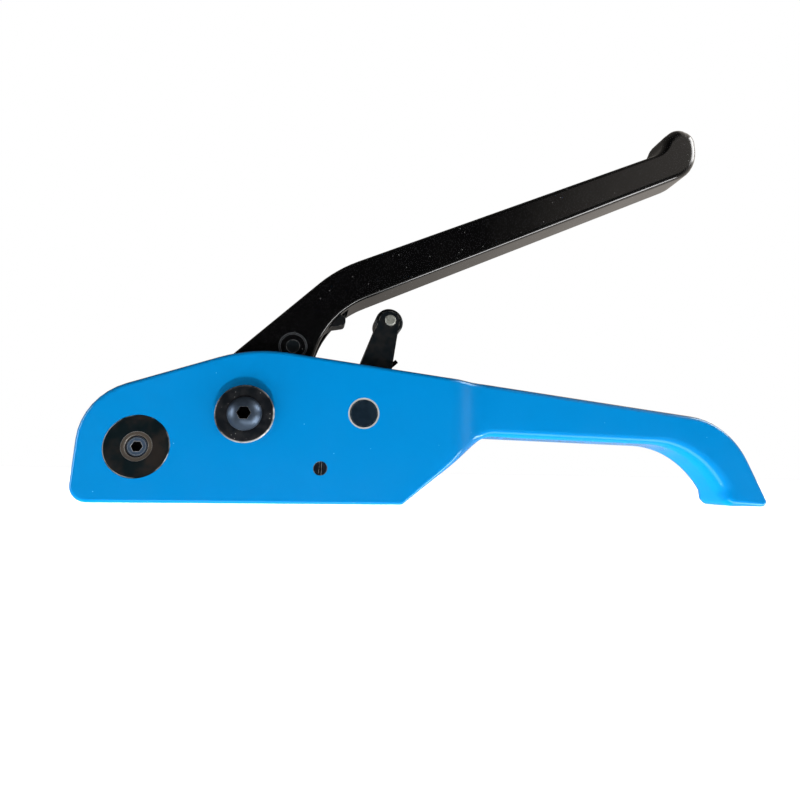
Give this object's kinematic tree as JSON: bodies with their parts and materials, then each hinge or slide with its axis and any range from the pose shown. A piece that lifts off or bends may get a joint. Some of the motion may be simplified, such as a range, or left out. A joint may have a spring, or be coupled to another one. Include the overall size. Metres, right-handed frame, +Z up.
{
  "type": "strapping tensioner tool",
  "caption": "Hand windlass tensioner for plastic strap: a ratchet lever winds the strap while a sprung toothed jaw grips its lower layer on a thin foot.",
  "frame": {"origin": "underside of the foot, straight below the windlass axis, in the middle plane of the hand lever", "axes": "+X from the nose to the tail, +Z up, +Y towards the open strap side; the windlass axis is parallel to Y at z = 36.5 mm"},
  "size_m": [0.323, 0.0712, 0.2081],
  "materials": {
    "blue_paint": "gloss azure stove enamel on an aluminium casting",
    "black_paint": "gloss black enamel on an aluminium casting",
    "black_oxide": "oiled black oxide on steel, satin",
    "blued_steel": "blue-grey tempered steel, satin",
    "ground_steel": "ground and hardened steel",
    "rivet_steel": "zinc-plated steel, dull",
    "spring_steel": "oiled spring wire",
    "bronze": "oiled bearing bronze, darkened"
  },
  "bodies": {
    "housing": {"housing": "blue_paint", "foot_plate": "ground_steel", "foot_plate_screws": "black_oxide", "grip_insert": "ground_steel", "front_bearing_disc": "black_oxide", "guide_axle_bush": "bronze", "axle_set_screw": "black_oxide", "guide_roller_axle": "ground_steel", "guide_spacer_washer": "ground_steel", "roller_circlip": "spring_steel", "shaft_bush_near": "bronze", "shaft_bush_far": "bronze", "gripper_bush_near": "ground_steel", "gripper_bush_far": "ground_steel", "holding_pawl_pin": "black_oxide", "holding_pawl_spring": "spring_steel"},
    "guide_roller": {"guide_roller": "ground_steel"},
    "handle": {"handle": "black_paint", "drive_pawl_pin": "black_oxide", "drive_pawl_spring": "spring_steel"},
    "drive_pawl": {"drive_pawl": "black_oxide"},
    "windlass": {"windlass_shaft": "ground_steel", "ratchet_wheel": "black_oxide", "ratchet_key": "ground_steel", "end_washer": "black_oxide", "button_screw": "blued_steel"},
    "holding_pawl": {"holding_pawl": "black_oxide"},
    "gripper": {"gripper_shaft": "black_oxide", "release_lever": "black_oxide", "gripper_jaw": "black_oxide", "lever_roll_pin": "spring_steel", "jaw_roll_pin": "spring_steel", "roller_rivet": "rivet_steel", "gripper_spring": "spring_steel"},
    "release_roller": {"release_roller": "black_oxide"}
  },
  "joints": [
    {"name": "handle_swing", "type": "hinge", "parent": "housing", "child": "handle", "pos_m": [0, 0, 0.0365], "axis": [0, 1, 0], "range_deg": [-72, 5]},
    {"name": "windlass_spin", "type": "hinge", "parent": "housing", "child": "windlass", "pos_m": [0, 0, 0.0365], "axis": [0, 1, 0], "continuous": true},
    {"name": "drive_pawl_lift", "type": "hinge", "parent": "handle", "child": "drive_pawl", "pos_m": [0.0174, 0, 0.069], "axis": [0, -1, 0], "range_deg": [0, 12], "stiffness_Nm_per_rad": 0.05, "springref_deg": -28.65, "deforming": ["drive_pawl_spring"]},
    {"name": "holding_pawl_lift", "type": "hinge", "parent": "housing", "child": "holding_pawl", "pos_m": [0.0321, 0, 0.0149], "axis": [0, -1, 0], "range_deg": [-8, 5], "stiffness_Nm_per_rad": 0.05, "deforming": ["holding_pawl_spring"]},
    {"name": "gripper_open", "type": "hinge", "parent": "housing", "child": "gripper", "pos_m": [0.0499, 0, 0.0391], "axis": [0, 1, 0], "range_deg": [0, 30], "stiffness_Nm_per_rad": 0.4, "springref_deg": -28.65, "deforming": ["gripper_spring"]},
    {"name": "release_roller_spin", "type": "hinge", "parent": "gripper", "child": "release_roller", "pos_m": [0.0616, 0, 0.0844], "axis": [0, 1, 0], "continuous": true},
    {"name": "guide_roller_spin", "type": "hinge", "parent": "housing", "child": "guide_roller", "pos_m": [-0.0417, 0.03, 0.0223], "axis": [0, 1, 0], "continuous": true}
  ],
  "couplings": [
    {"joint": "windlass_spin", "follows": "handle_swing", "ratio": 1}
  ]
}
